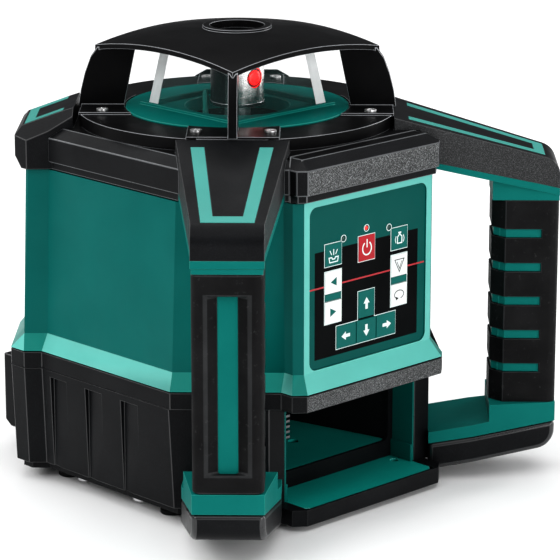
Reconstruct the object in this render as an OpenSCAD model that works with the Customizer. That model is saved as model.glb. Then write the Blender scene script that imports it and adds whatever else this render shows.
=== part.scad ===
// Rotary laser level with two side handles, keypad and open battery bay.
// Front (keypad side) faces -Y, the beam spins about +Z, and the origin is the
// mouth of the tripod thread in the middle of the base.

/* [Levels] */
// Height of the seam between the base and the housing
seam_z = 62.3; // [60:0.1:64]
// Height where the flared foot of the housing ends
flare_z = 69.9; // [68:0.1:72]
// Top of the housing walls
wall_z = 145.4; // [144:0.1:146]
// Bottom edge of the wide band round the top cap
band_z = 149.4; // [148.5:0.1:150.5]
// Top edge of the wide band round the top cap
band_top_z = 160.2; // [159:0.1:161]
// Top of the cap, where the cage ring and the window deck sit
seat_z = 164; // [163.5:0.1:164.5]
// Crown of the cage roof
roof_z = 206; // [205:0.1:208]

/* [Shells] */
// Wall thickness of the plastic shells
wall = 3; // [2.5:0.1:3.5]
// Bottom edge of the base shell
base_z = 9; // [8.5:0.1:10]
// Underside of the front skirt over the battery bay
skirt_z = 54.3; // [54:0.1:55]

/* [Battery bay] */
// Half width of the bay mouth between the posts
mouth_hw = 41; // [40.8:0.1:41.4]
// Half width of the liner opening
liner_hw = 37; // [35:0.1:37.5]
// Half width of the liner at its back wall
liner_back_hw = 26; // [22:0.1:30]
// Distance of the liner lip behind the axis, towards the front
lip_y = 60; // [58:0.1:61]
// Distance of the liner's back wall from the axis, towards the front
liner_back_y = 8; // [6:0.1:12]
// Floor of the battery bay
floor_z = 17.5; // [17:0.1:18]

/* [Cage] */
// Outer radius of the cage ring
ring_r = 71.5; // [71:0.1:71.8]
// Inner radius of the cage ring
ring_in_r = 50.4; // [50.3:0.1:51]
// Half side of the square roof
roof_hw = 45; // [44.5:0.1:45]
// Radius of the roof's dome
dome_r = 237.7; // [220:0.1:260]
// Thickness of the roof and of its four fins
roof_t = 2.4; // [2:0.1:3]
fin_t = 4; // [3:0.1:5]
// Radius of the hole in the roof
roof_hole_r = 12.2; // [11:0.1:12.5]

/* [Window] */
// Half side of the glass pyramid at the deck and at the roof
glass_hw = 28.5; // [28:0.1:29]
glass_top_hw = 23.4; // [23:0.1:24]
// Thickness of the glass
glass_t = 2; // [1.6:0.1:2.2]

/* [Handles] */
// Outer face of the grips, from the axis along the corner diagonal
grip_r = 144.6; // [143:0.1:146]
// Inner face of the grips, from the axis along the corner diagonal
grip_in_r = 114.5; // [113:0.1:116]
// Half width of the grips
grip_hw = 15; // [14.5:0.1:15.2]
// Bottom and top of the rubber grips
grip_z = 35.6; // [35:0.1:36]
grip_top_z = 130; // [129.5:0.1:130.5]

/* [Keypad] */
// Width and height of one key
key_w = 10.2; // [9.8:0.1:10.4]
key_h = 10.2; // [9.8:0.1:10.4]

/* [Levelling] */
// Height of the two gimbal axes
pivot_z = 125; // [124:0.1:126]
// Distance of the levelling plungers from the axis
plunger_r = 54; // [53:0.1:55]

/* [Mounts] */
// Tapping radius of the 5/8 inch tripod threads
thread_r = 6.9; // [6.7:0.05:7.1]
// Depth of the tripod threads
thread_depth = 13; // [11:0.5:13]

/* [Hidden] */
$fn = 64;

DARK = "#12534c";
TEAL = "#10756b";
MINT = "#6bc0b5";
BLACK = "#1a1b1c";
RUBBER = "#141414";
METAL = "#a9acae";
BRASS = "#c0a050";
GLASS = "#d8ecec";
BOARD = "#1f6b3a";

rt2 = sqrt(2);
e = 0.01;

// ---- case outlines ---------------------------------------------------------
// A case outline at one height, as the distance of each side from the axis:
// [z, side, front diagonal, pillar side, pillar corner, pillar half width,
//  main front, front block, front block half width, front block facet].
SEAM = [81.1, 87.8, 86.8, 102.3, 26.9, 77.5, 88, 47.2, 94.6];
FLARE = [77.4, 83.5, 84.8, 95.7, 24.2, 75.4, 83, 43.2, 89.1];
TOP = [75.5, 83, 82, 93.5, 23.7, 74.7, 83, 43.2, 89.1];
LOWER = [81.1, 87, 86.8, 102.3, 26.9, 72.7, 0, 0, 0];
BOTTOM = [79.6, 87, 85.3, 100.8, 26, 72.7, 0, 0, 0];
CAP = [77, 87, 0, 83.1, 0, 79.3, 86.4, 44.2, 92.3];
CAP_IN = [71, 81, 0, 77.1, 0, 73.3, 80.4, 38.2, 86.3];
facet_a = 39.6;

// Half space with the given side profile, facing the given direction
module side(a, rows) {
    rotate([0, 0, a]) rotate([90, 0, 0]) linear_extrude(400, center = true)
        polygon(concat([[-150, rows[0][1]]], rows, [[-150, rows[len(rows) - 1][1]]]));
}

// Profile of one side over the heights of a stack of outlines
function rows(stack, k, g) = [for (s = stack) [s[1][k] + g, s[0]]];
function level(stack, r) = [for (s = stack) [r, s[0]]];

module main_part(stack, g) {
    intersection() {
        for_sides([0, 180, 90], rows(stack, 0, g));
        for_sides([225, -45], rows(stack, 1, g));
        for_sides([135, 45], rows(stack, 3, g));
        side(-90, rows(stack, 5, g));
    }
}

module for_sides(angles, r) {
    intersection_for(a = angles) side(a, r);
}

module front_block(stack, g) {
    intersection() {
        side(-90, rows(stack, 6, g));
        for_sides([0, 180], rows(stack, 7, g));
        for_sides([-90 - facet_a, -90 + facet_a], rows(stack, 8, g));
        side(90, level(stack, -50));
    }
}

module pillar(stack, g) {
    intersection() {
        for_sides([180, 90], rows(stack, 2, g));
        side(135, rows(stack, 3, g));
        for_sides([225, 45], rows(stack, 4, g));
        side(315, level(stack, -70));
    }
}

module both_sides() {
    children();
    mirror([1, 0, 0]) children();
}

// Solid through a stack of outlines, grown outwards by g
module case_solid(stack, g = 0) {
    main_part(stack, g);
    front_block(stack, g);
    both_sides() pillar(stack, g);
}

module base_solid(stack, g = 0) {
    main_part(stack, g);
    both_sides() pillar(stack, g);
}

module cap_solid(stack, g = 0) {
    main_part(stack, g);
    front_block(stack, g);
}

module prism_of(points, z0, z1) {
    translate([0, 0, z0]) linear_extrude(z1 - z0) polygon(points);
}

module block(x0, x1, y0, y1, z0, z1) {
    translate([x0, y0, z0]) cube([x1 - x0, y1 - y0, z1 - z0]);
}

module tube(r_out, r_in, z0, z1) {
    difference() {
        translate([0, 0, z0]) cylinder(r = r_out, h = z1 - z0);
        translate([0, 0, z0 - 1]) cylinder(r = r_in, h = z1 - z0 + 2);
    }
}

// Side profile in (r, z), extruded across the corner diagonal
module profile(points, half_width = 40) {
    rotate([90, 0, 0]) linear_extrude(2 * half_width, center = true) polygon(points);
}

// Rectangle in X and Z with round corners, extruded from y0 to y1
module panel(x_half, z0, z1, y0, y1, r) {
    rotate([90, 0, 0]) translate([0, 0, -y1]) linear_extrude(y1 - y0) {
        translate([-x_half + r, z0]) square([2 * (x_half - r), z1 - z0]);
        translate([-x_half, z0 + r]) square([2 * x_half, z1 - z0 - 2 * r]);
        for (x = [-1, 1], z = [z0 + r, z1 - r])
            translate([x * (x_half - r), z]) circle(r);
    }
}

// Points of an arc in degrees
function arc(c, r, a0, a1, n = 8) =
    [for (i = [0:n]) let (a = a0 + (a1 - a0) * i / n) [c[0] + r * cos(a), c[1] + r * sin(a)]];

// Front left corner: x runs out along the diagonal, y across it
module front_left() {
    rotate([0, 0, 225]) children();
}

// ---- corner zones shared by the cap, the cage ring and the handles ---------
arm_r = 69.9;
arm_hw = 24.4;
arm_end_hw = 15.2;
ARM_PLAN = [[arm_r, -arm_hw], [139, -arm_end_hw], [grip_r, -arm_end_hw],
    [grip_r, arm_end_hw], [139, arm_end_hw], [arm_r, arm_hw]];
LOW_ARM_PLAN = [[87, -21.4], [107, -21.3], [grip_r, -arm_end_hw],
    [grip_r, arm_end_hw], [107, 21.3], [87, 21.4]];
BUMPER_PLAN = [[72.2, -22], [83.1, -25.8], [92.8, -26.5], [98.4, -21],
    [98.4, 21], [92.8, 26.5], [83.1, 25.8], [72.2, 22]];

// ---- housing ---------------------------------------------------------------
keypad_z = 70.4;
keypad_top_z = 142.8;
keypad_hw = 36.2;
face_y = -83;
recess_y = face_y + 1.6;

module housing_shell() {
    color(TEAL) difference() {
        case_solid([[seam_z, SEAM], [flare_z, FLARE], [wall_z, TOP]]);
        case_solid([[seam_z - 1, SEAM], [flare_z, FLARE], [wall_z + 1, TOP]], -wall);
        panel(keypad_hw, keypad_z, keypad_top_z, face_y - 1, recess_y, 4);
        panel(31, 74, 131, face_y, face_y + 2 * wall, 2);
    }
}

module case_seals() {
    color(BLACK) {
        difference() {
            case_solid([[seam_z - 0.6, SEAM], [seam_z, SEAM]], -0.5);
            case_solid([[seam_z - 1, SEAM], [seam_z + 1, SEAM]], -2.6);
        }
        difference() {
            case_solid([[wall_z, TOP], [wall_z + 0.6, TOP]], -0.5);
            case_solid([[wall_z - 1, TOP], [wall_z + 1, TOP]], -2.6);
        }
    }
}

// ---- base ------------------------------------------------------------------
base_top_z = seam_z - 0.6;
groove_pitch = 24;
groove_y = 2.7;

module side_grooves() {
    for (i = [-1:1])
        translate([-82.4, groove_y + i * groove_pitch, base_z - 1])
            rotate([0, 0, -7]) cube([2.2, 11, 43]);
}

module base_shell() {
    color(BLACK) difference() {
        union() {
            base_solid([[base_z, BOTTOM], [skirt_z + 1, LOWER]]);
            case_solid([[skirt_z, SEAM], [base_top_z, SEAM]]);
        }
        base_solid([[base_z - 1, BOTTOM], [base_top_z + 1, LOWER]], -wall);
        case_solid([[skirt_z + wall, SEAM], [base_top_z + 1, SEAM]], -wall);
        block(-mouth_hw, mouth_hw, -80, -lip_y, base_z - 1, skirt_z - 2.3);
        both_sides() side_grooves();
        translate([0, 70, 28.5]) rotate([-90, 0, 0]) cylinder(r = 9.3, h = 30);
    }
    color(BLACK) both_sides() for (y = SCREW_Y)
        difference() {
            intersection() {
                translate([-71, y, base_z]) cylinder(r = 7, h = 24);
                block(-79, -60, y - 8, y + 8, 0, 60);
            }
            translate([-71, y, base_z - 1]) cylinder(r = 2.05, h = 22);
        }
}

SCREW_Y = [26, -12];
FEET = [[65, 43.5], [66, -27.5]];
tray_z = 2.6;
tray_rim_z = 9.9;
plate_z = 5.5;
TRAY_PLAN = [[-41.5, -87.6], [-46.7, -83.3], [-46.7, -70],
    [46.7, -70], [46.7, -83.3], [41.5, -87.6]];

module low_arm_zone() {
    front_left() prism_of(LOW_ARM_PLAN, -1, 40);
}

module bottom_plate() {
    color(BLACK) difference() {
        union() {
            base_solid([[plate_z, BOTTOM], [base_z, BOTTOM]], -wall);
            prism_of(TRAY_PLAN, tray_z, base_z);
            difference() {
                prism_of(TRAY_PLAN, base_z - e, tray_rim_z);
                block(-60, 60, -72.8, 0, 0, 20);
            }
        }
        both_sides() low_arm_zone();
        block(-40.4, 40.4, -86.2, -58, base_z - 0.6, 20);
        translate([0, 0, -1]) cylinder(r = 22.05, h = 20);
        both_sides() for (y = SCREW_Y)
            translate([-71, y, 0]) cylinder(r = 2.1, h = 20);
        both_sides() translate([35.5, -65.6, 0]) cylinder(r = 1.9, h = 20);
    }
}

module tray_plate() {
    color(TEAL) difference() {
        block(-40.3, 40.3, -86.1, -58.1, base_z - 0.6, tray_rim_z - 0.3);
        both_sides() translate([35.5, -65.6, 0]) cylinder(r = 1.9, h = 20);
        both_sides() translate([40.3, -86.1, 0]) rotate([0, 0, 45])
            cube([8, 4.4, 40], center = true);
    }
}

module tripod_insert() {
    color(METAL) difference() {
        union() {
            cylinder(r = 22, h = base_z);
            cylinder(r = 12, h = thread_depth + 1.3);
        }
        translate([0, 0, -e]) cylinder(r = thread_r, h = thread_depth + e);
    }
}

module feet() {
    color(RUBBER) both_sides() for (p = FEET)
        translate([-p[0], p[1], 0]) {
            cylinder(r = 4.6, h = plate_z);
            cylinder(r = 5.6, h = 2.2);
        }
}

module case_screws() {
    color(METAL) both_sides() for (y = SCREW_Y) translate([-71, y, 0]) {
        translate([0, 0, 3.3]) cylinder(r = 3.6, h = 2.2);
        translate([0, 0, plate_z - e]) cylinder(r = 2, h = 20);
    }
}

rear_y = 99.7;
mount_z = 28.5;

module rear_mount_block() {
    color(BLACK) difference() {
        intersection() {
            rotate([90, 0, 90]) linear_extrude(120, center = true)
                polygon([[76, 45.5], [97.2, 45.5], [rear_y, 43], [rear_y, 15], [93, 10.4], [76, 10.4]]);
            union() {
                prism_of([[-60, 70], [-60, 96.7], [-57, 99.8], [57, 99.8], [60, 96.7], [60, 70]], 0, 60);
            }
        }
        side(90, [[BOTTOM[0], base_z], [LOWER[0], skirt_z + 1]]);
        both_sides() pillar([[base_z, BOTTOM], [skirt_z + 1, LOWER]], 0);
        translate([0, 70, mount_z]) rotate([-90, 0, 0]) cylinder(r = 11.5, h = 40);
    }
}

module rear_insert() {
    color(METAL) translate([0, rear_y, mount_z]) rotate([90, 0, 0]) difference() {
        union() {
            cylinder(r = 11.4, h = 17);
            cylinder(r = 9.2, h = 22.4);
        }
        translate([0, 0, -e]) cylinder(r = thread_r, h = thread_depth + e);
    }
}

// ---- top cap ---------------------------------------------------------------
module corner_zones() {
    both_sides() front_left() prism_of(ARM_PLAN, 0, 300);
    both_sides() rotate([0, 0, 135]) prism_of(BUMPER_PLAN, 0, 300);
}

module top_cap() {
    color(BLACK) difference() {
        union() {
            cap_solid([[wall_z + 0.6, CAP], [band_z + 1, CAP]], -1.3);
            cap_solid([[band_z, CAP], [band_top_z, CAP], [seat_z, CAP_IN]]);
        }
        cap_solid([[wall_z, CAP], [band_top_z - 2, CAP], [seat_z - wall, CAP_IN]], -4.5);
        cylinder(r = 44, h = 300);
        corner_zones();
    }
}

// ---- window ----------------------------------------------------------------
deck_z = 170.3;
deck_rim_z = 171.6;
deck_r = 50.2;
glass_z = 168.6;
glass_top_z = 200.6;

function square_of(h) = [[-h, -h], [-h, h], [h, h], [h, -h]];

module window_deck() {
    color(TEAL) difference() {
        union() {
            translate([0, 0, seat_z]) cylinder(r = deck_r, h = deck_z - seat_z);
            prism_of(square_of(31), deck_z - e, deck_rim_z);
        }
        prism_of(square_of(25.6), deck_z, deck_rim_z + 1);
        difference() {
            prism_of(square_of(glass_hw + 0.3), glass_z, deck_rim_z + 1);
            prism_of(square_of(glass_hw - glass_t - 0.9), 0, 300);
        }
        cylinder(r = 23.5, h = 300);
    }
}

// Four-sided pyramid stump, grown outwards by g and lengthened by dz both ways
module glass_pyramid(g, dz) {
    for_sides([0, 90, 180, 270], [[glass_hw + g, glass_z - dz], [glass_top_hw + g, glass_top_z + dz]]);
}

module glass_shell() {
    difference() {
        glass_pyramid(0, 0);
        glass_pyramid(-glass_t, 1);
    }
}

// The four corners of the glass, out beyond a distance along the diagonals
module glass_corners(g) {
    for (a = [45:90:315])
        rotate([0, 0, a]) profile([[glass_hw * rt2 - 4.2 + g, glass_z - 1],
            [60, glass_z - 1], [60, glass_top_z + 1], [glass_top_hw * rt2 - 4.2 + g, glass_top_z + 1]], 20);
}

module window_glass() {
    color(GLASS) {
        difference() {
            glass_shell();
            glass_corners(0);
        }
        intersection() {
            glass_shell();
            glass_corners(0.05);
        }
    }
}

// ---- cage ------------------------------------------------------------------
foot_z = 169.6;
foot_top_z = 170.6;
dome_z = roof_z - dome_r;
SCREW_T = [-16, 16];
screw_r = 59.5;

// Height of a sphere of radius r, centred under the roof, at radius x
function dome_at(r, x) = dome_z + sqrt(r * r - x * x);
dome_step = 5.6;

module fin() {
    mid = dome_r - roof_t / 2;
    profile([[ring_in_r + 0.6, foot_z - 0.5], [arm_r - 0.6, foot_z - 0.5],
        [arm_r - 0.6, foot_z + 0.4], [71.2, foot_z + 0.4], [70.2, 177], [68.2, 185],
        [65.6, 192], [62.4, dome_at(mid, 62.4)],
        [53, dome_at(mid, 53)], [44.6, dome_at(mid, 44.6)]], fin_t / 2);
}

// Dome-shaped shell from the hole outwards
module dome_shell() {
    rotate([0, 0, 22.5]) rotate_extrude($fn = 128) polygon(concat(
        [for (i = [0:10]) let (x = roof_hole_r + i * dome_step) [x, dome_at(dome_r, x)]],
        [for (i = [10:-1:0]) let (x = roof_hole_r + i * dome_step) [x, dome_at(dome_r, x) - roof_t]]));
}

module cage() {
    color(BLACK) difference() {
        union() {
            difference() {
                tube(ring_r, ring_in_r, seat_z, foot_z);
                for (a = [45:90:315]) rotate([0, 0, a])
                    block(arm_r, 90, -40, 40, 0, 300);
            }
            for (a = [45:90:315]) rotate([0, 0, a]) {
                difference() {
                    block(40, arm_r - 0.1, -20, 20, foot_z - 0.3, foot_top_z);
                    cylinder(r = ring_in_r + 0.2, h = 300);
                }
                fin();
            }
            intersection() {
                dome_shell();
                prism_of(square_of(roof_hw), 190, 210);
            }
            translate([0, 0, roof_z - 3]) cylinder(r = 15.4, h = 3.6);
        }
        translate([0, 0, 195]) cylinder(r = roof_hole_r, h = 30);
        for (a = [45:90:315], t = SCREW_T) rotate([0, 0, a])
            translate([screw_r, t, seat_z - 1]) cylinder(r = 1.55, h = 20);
    }
}

module cage_screws() {
    color(METAL) for (a = [45:90:315], t = SCREW_T) rotate([0, 0, a])
        translate([screw_r, t, 0]) {
            translate([0, 0, seat_z + 0.2]) cylinder(r = 1.5, h = foot_top_z - seat_z);
            difference() {
                translate([0, 0, foot_top_z]) cylinder(r = 2.6, h = 1);
                for (q = [0, 90]) rotate([0, 0, q + 20])
                    block(-1.6, 1.6, -0.35, 0.35, foot_top_z + 0.4, foot_top_z + 3);
            }
        }
}

// ---- keypad ----------------------------------------------------------------
board_y = face_y + wall;
key_y = face_y + 0.2;
key_back_y = board_y - 0.6;
overlay_y = recess_y - 1;
key_col = 20.5;
key_x = -1;
gap = 0.2;

// name, centre x, bottom z, width, height, flange below, flange above
KEYS = [
    ["key_lamp", key_x - key_col, 115, key_w, key_h, 0.6, 0.6],
    ["key_power", key_x, 113.6, key_w, 11.6, 0.6, 0.6],
    ["key_shock", key_x + key_col, 115, key_w, key_h, 0.6, 0.6],
    ["key_scan_left", key_x - key_col, 102.8, key_w, key_h, 0.6, 0.6],
    ["key_scan_right", key_x - key_col, 89.4, key_w, key_h, 0.6, 0.6],
    ["key_scan_angle", key_x + key_col, 102.8, key_w, key_h, 0.6, 0.6],
    ["key_speed", key_x + key_col, 89.4, key_w, key_h, 0.6, 0.6],
    ["key_up", key_x, 88.1, key_w, 12.4, 0, 0.6],
    ["key_left", key_x - 12.4, 77, 12.1, key_h + 0.4, 0.6, 0],
    ["key_down", key_x, 77, 12.1, key_h + 0.4, 0.6, 0],
    ["key_right", key_x + 12.4, 77, 12.1, key_h + 0.4, 0.6, 0]];

function key_named(name) = [for (k = KEYS) if (k[0] == name) k][0];
LEDS = [[key_x - 14.1, 126], [key_x, 128.2], [key_x + 14.1, 126]];

module key(name, tint) {
    k = key_named(name);
    hw = k[3] / 2 - gap / 2;
    translate([k[1], 0, k[2]]) color(tint) {
        block(-hw, hw, key_y, key_back_y, gap, k[4] - gap);
        block(-hw, hw, recess_y + 0.1, key_back_y, gap - k[5], k[4] - gap + k[6]);
    }
}

module keypad_overlay() {
    color(DARK) difference() {
        panel(keypad_hw - 0.1, keypad_z + 0.1, keypad_top_z - 0.1, overlay_y, recess_y, 3.9);
        for (k = KEYS)
            block(k[1] - k[3] / 2 - gap, k[1] + k[3] / 2 + gap, overlay_y - 1, recess_y + 1,
                k[2] - gap / 2, k[2] + k[4] + gap / 2);
        for (p = LEDS)
            translate([p[0], overlay_y - 1, p[1]]) rotate([-90, 0, 0]) cylinder(r = 1.15, h = 5);
    }
}

module keypad_board() {
    color(BOARD) difference() {
        block(-33, 33, board_y, board_y + 1.6, 72, 133);
        for (x = [-1, 1], z = [74, 131.2])
            translate([x * 30.5, board_y - 1, z]) rotate([-90, 0, 0]) cylinder(r = 1.2, h = 5);
    }
}

module status_leds() {
    color("red") for (p = LEDS)
        translate([p[0], board_y, p[1]]) rotate([90, 0, 0]) cylinder(r = 1, h = 2.2);
}

// ---- battery bay -----------------------------------------------------------
bay_top_z = 51.9;

module bay_frame() {
    color(DARK) {
        both_sides() {
            block(-40.9, -39.9, -72.6, -lip_y, 9.7, bay_top_z);
            block(-40, -38.9, -72.6, -lip_y, 9.7, 17.6);
        }
        block(-40.9, 40.9, -72.6, -lip_y, bay_top_z - 1, bay_top_z);
    }
}

module liner_plan(g) {
    polygon([[-liner_hw - g, -lip_y], [-liner_hw - g, -55], [-liner_back_hw - g, -liner_back_y + g],
        [liner_back_hw + g, -liner_back_y + g], [liner_hw + g, -55], [liner_hw + g, -lip_y]]);
}

module battery_liner() {
    color(BLACK) {
        difference() {
            panel(40.8, 9.8, bay_top_z, -lip_y, -lip_y + 1.6, 1);
            panel(liner_hw, floor_z, 50.2, -lip_y - 1, -lip_y + 3, 3);
        }
        difference() {
            translate([0, 0, floor_z - 3]) linear_extrude(53.4 - floor_z + 3) liner_plan(1.6);
            translate([0, -10, floor_z - 1.5]) linear_extrude(50.2 - floor_z + 1.5) liner_plan(0);
            translate([0, 0, floor_z - 1.5]) linear_extrude(50.2 - floor_z + 1.5) liner_plan(0);
            block(-80, 80, -80, -lip_y + 1.6 - e, 0, 80);
        }
        for (x = [-22, 22], y = [-50, -14])
            translate([x, y, 53.4 - e]) cylinder(r = 3, h = 3);
    }
}

module bay_floor() {
    color(TEAL) difference() {
        intersection() {
            translate([0, 0, floor_z - 1.4]) linear_extrude(1.4) liner_plan(-0.1);
            block(-80, 80, -lip_y + 1.7, 0, 0, 80);
        }
        translate([5, -31, 0]) cylinder(r = 2.4, h = 40);
    }
}

module bay_contacts() {
    color(METAL) {
        block(-39.9, -37.4, -66.4, -60.4, 34.3, 46.7);
        for (z = [35.5:2.4:45.5])
            block(-37.4 - e, -31, -65.8, -61, z, z + 1.3);
    }
}

module main_board() {
    color(BOARD) {
        difference() {
            block(-30, 30, -54, -9, 56.4, 58);
            for (x = [-22, 22], y = [-50, -14])
                translate([x, y, 50]) cylinder(r = 1.3, h = 20);
        }
        for (p = [[-12, -40, 14, 14], [8, -34, 9, 9], [-20, -20, 8, 12], [6, -20, 16, 7]])
            block(p[0], p[0] + p[2], p[1], p[1] + p[3], 58 - e, 60.2);
    }
}

// ---- handles ---------------------------------------------------------------
arm_slope = 0.285;
arm_end_r = 9;
arm_arc_x = grip_r - arm_end_r;
function arm_top(r) = 169.4 - arm_slope * (r - 70);
function arm_split(r) = 148.1 - 0.2315 * (r - 90.6);
arm_angle = atan(arm_slope);
ARM_ARC = arc([arm_arc_x, arm_top(arm_arc_x) - arm_end_r / cos(arm_angle)], arm_end_r,
    90 - arm_angle, 0);
low_slope = 0.175;
function low_bottom(r) = 5.6 + low_slope * (r - 92.6);
function low_split(r) = 17.7 + 0.163 * (r - 88);
LOW_ARC = arc([arm_arc_x, low_bottom(arm_arc_x) + arm_end_r / cos(atan(low_slope))], arm_end_r,
    0, -90 + atan(low_slope));
slot_pitch = 15.7;
slot_z = 51.8;

module arm_plan(z0 = 0, z1 = 200) {
    prism_of(ARM_PLAN, z0, z1);
}

module arm_cover() {
    difference() {
        intersection() {
            profile(concat([[arm_r, arm_split(arm_r)], [arm_r, arm_top(arm_r)]], ARM_ARC,
                [[grip_r, arm_split(grip_r)]]));
            arm_plan();
        }
        profile([[arm_r + 3, 100], [arm_r + 3, arm_top(arm_r + 3) - 3.5],
            [134, arm_top(134) - 3.5], [140, 141], [140, 100]], 12.5);
        arm_stripe(-0.7, 2);
    }
}

// The U-shaped stripe let into the top of an arm
module arm_stripe(z0, z1) {
    intersection() {
        profile([[76.5, arm_top(76.5) + z0], [76.5, arm_top(76.5) + z1],
            [137.8, arm_top(137.8) + z1], [137.8, arm_top(137.8) + z0]]);
        difference() {
            prism_of([[70, -18.3], [137.8, -11], [137.8, 11], [70, 18.3]], 0, 300);
            prism_of([[60, -13.4], [133, -6.2], [133, 6.2], [60, 13.4]], -1, 301);
        }
    }
}

strip_t = 3.3;
bar_h = 3.8;

module handle_core() {
    intersection() {
        profile([[arm_r, wall_z + 0.6], [arm_r, arm_split(arm_r)], [grip_r, arm_split(grip_r)],
            [grip_r, arm_split(grip_r) - strip_t], [88, arm_split(88) - strip_t + 0.6]]);
        arm_plan();
    }
    profile([[grip_in_r, grip_top_z], [grip_in_r, arm_split(grip_in_r) - 1],
        [grip_r - 0.1, arm_split(grip_r) - 1], [grip_r - 0.1, grip_top_z]], grip_hw - 0.3);
    block(118, 141, -11.5, 11.5, grip_z - e, grip_top_z + e);
    for (i = [0:4])
        translate([0, 0, slot_z + i * slot_pitch - bar_h / 2]) linear_extrude(bar_h)
            polygon([[grip_in_r + 1, 8.6], [grip_in_r + 1, -8.6], [grip_in_r + 6.4, -grip_hw + 1],
                [136.7, -grip_hw + 1], [136.7, grip_hw - 1], [grip_in_r + 6.4, grip_hw - 1]]);
    intersection() {
        profile([[85, low_split(85)], [85, low_split(85) + 5.2], [grip_in_r, low_split(grip_in_r) + 5.6],
            [grip_in_r, grip_z], [grip_r, grip_z], [grip_r, low_split(grip_r)]]);
        prism_of(LOW_ARM_PLAN, 0, 60);
    }
}

module grip_plan() {
    polygon(concat([[grip_in_r, 9], [grip_in_r, -9], [grip_in_r + 6, -grip_hw]],
        arc([grip_r - 4, -grip_hw + 4], 4, -90, 0), arc([grip_r - 4, grip_hw - 4], 4, 0, 90),
        [[grip_in_r + 6, grip_hw]]));
}

module grip() {
    difference() {
        translate([0, 0, grip_z]) linear_extrude(grip_top_z - grip_z) grip_plan();
        block(117.9, 141, -11.6, 11.6, 0, 200);
        for (i = [0:4])
            block(110, 136.8, -20, 20, slot_z + i * slot_pitch - 2, slot_z + i * slot_pitch + 2);
        prism_of([[grip_r + 1, -10.5], [140.9, -3.5], [140.9, 3.5], [grip_r + 1, 10.5]], 44, 120.5);
    }
}

module handle_foot() {
    intersection() {
        profile(concat([[85, low_split(85)]], [[grip_r, low_split(grip_r)]], LOW_ARC,
            [[85, low_bottom(85)]]));
        prism_of(LOW_ARM_PLAN, 0, 60);
    }
}

// ---- back corners ----------------------------------------------------------
bumper_slope = 0.364;
function bumper_top(r) = 171 - bumper_slope * (r - 76);

module corner_bumpers() {
    color(BLACK) both_sides() rotate([0, 0, 135]) difference() {
        intersection() {
            profile([[72.2, wall_z + 0.6], [72.2, 172.2], [76, bumper_top(76)], [95.6, bumper_top(95.6)],
                [98.4, 160.6], [98.4, 151.2], [95.4, wall_z + 0.6]]);
            prism_of(BUMPER_PLAN, 0, 300);
        }
        profile([[75.5, 100], [75.5, 163], [92, 157], [92, 100]], 18);
        for (m = [0, 1]) mirror([0, m, 0])
            translate([76, 16.5, bumper_top(76)]) rotate([0, atan(bumper_slope), 0])
                rotate([-28, 0, 0]) translate([-20, 0, 0]) cube([70, 40, 40]);
        corner_stripe(-0.7, 2);
    }
}

module corner_stripe(z0, z1) {
    intersection() {
        profile([[77, bumper_top(77) + z0], [77, bumper_top(77) + z1],
            [94.4, bumper_top(94.4) + z1], [94.4, bumper_top(94.4) + z0]]);
        difference() {
            prism_of([[70, -15.2], [94.4, -15.2], [94.4, 15.2], [70, 15.2]], 0, 300);
            prism_of([[60, -10.4], [89.8, -10.4], [89.8, 10.4], [60, 10.4]], -1, 301);
        }
    }
}

module inlays() {
    color(MINT) both_sides() {
        front_left() arm_stripe(-0.7, 0.15);
        rotate([0, 0, 135]) corner_stripe(-0.7, 0.15);
    }
}

// ---- levelling -------------------------------------------------------------
chassis_r = 50;
chassis_in_r = 43;
gimbal_r = 39;
gimbal_in_r = 33;
pin_r = 2;
pin_fit = 0.04;
fork_z = 102;
motor_z = 70;
motor_top_z = 90;

// Motor cradle on the +Y side, with its legs a given distance apart
module cradle(leg) {
    for (s = [-1, 1])
        block(min(s * leg, s * (leg + 2.2)), max(s * leg, s * (leg + 2.2)),
            plunger_r - 7, plunger_r + 7, motor_z - 3, pivot_z + 5);
    block(-leg - 2.2, leg + 2.2, plunger_r - 7, plunger_r + 7, motor_z - 3, motor_z);
    difference() {
        block(-leg - 2.2, leg + 2.2, 44, plunger_r + 7, pivot_z + 1, pivot_z + 5);
        cylinder(r = chassis_in_r + 1, h = 300);
    }
}

module chassis_frame() {
    color(METAL) difference() {
        union() {
            tube(chassis_r, chassis_in_r, pivot_z - 5, pivot_z + 5);
            for (a = [45:90:315]) rotate([0, 0, a])
                translate([46.5, 0, pivot_z + 4]) cylinder(r = 3.4, h = seat_z - wall - pivot_z - 4);
            cradle(10);
            rotate([0, 0, -90]) cradle(14);
        }
        translate([0, 0, pivot_z]) rotate([0, 90, 0])
            cylinder(r = pin_r + pin_fit, h = 120, center = true);
    }
}

module level_motors() {
    color(METAL) for (a = [0, -90]) rotate([0, 0, a]) translate([0, plunger_r, 0])
        difference() {
            translate([0, 0, motor_z]) cylinder(r = 6.5, h = motor_top_z - motor_z);
            translate([0, 0, motor_z + 2]) cylinder(r = 2.1, h = 40);
        }
}

// Plunger that rises out of a levelling motor, with its cross pin
module plunger(nut_half, pin_half) {
    translate([0, plunger_r, 0]) {
        translate([0, 0, motor_z + 7.5]) cylinder(r = 2, h = fork_z - motor_z - 5);
        block(-nut_half, nut_half, -3.6, 3.6, fork_z - 3, fork_z + 3);
        translate([0, 0, fork_z]) rotate([0, 90, 0])
            cylinder(r = 1.5, h = 2 * pin_half, center = true);
    }
}

module level_plunger_x() {
    color(BRASS) plunger(4, 8);
}

module level_plunger_y() {
    color(BRASS) rotate([0, 0, -90]) plunger(3.2, 12);
}

// Fork that straddles a plunger's cross pin
module fork(inner, outer, play) {
    block(-outer, outer, plunger_r - 10.5, plunger_r - 7.5, fork_z - 5, fork_z + 5);
    for (s = [-1, 1], v = [-1, 1])
        block(min(s * inner, s * outer), max(s * inner, s * outer), plunger_r - 8, plunger_r + 5,
            fork_z + min(v * (1.5 + play), v * 5), fork_z + max(v * (1.5 + play), v * 5));
}

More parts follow.
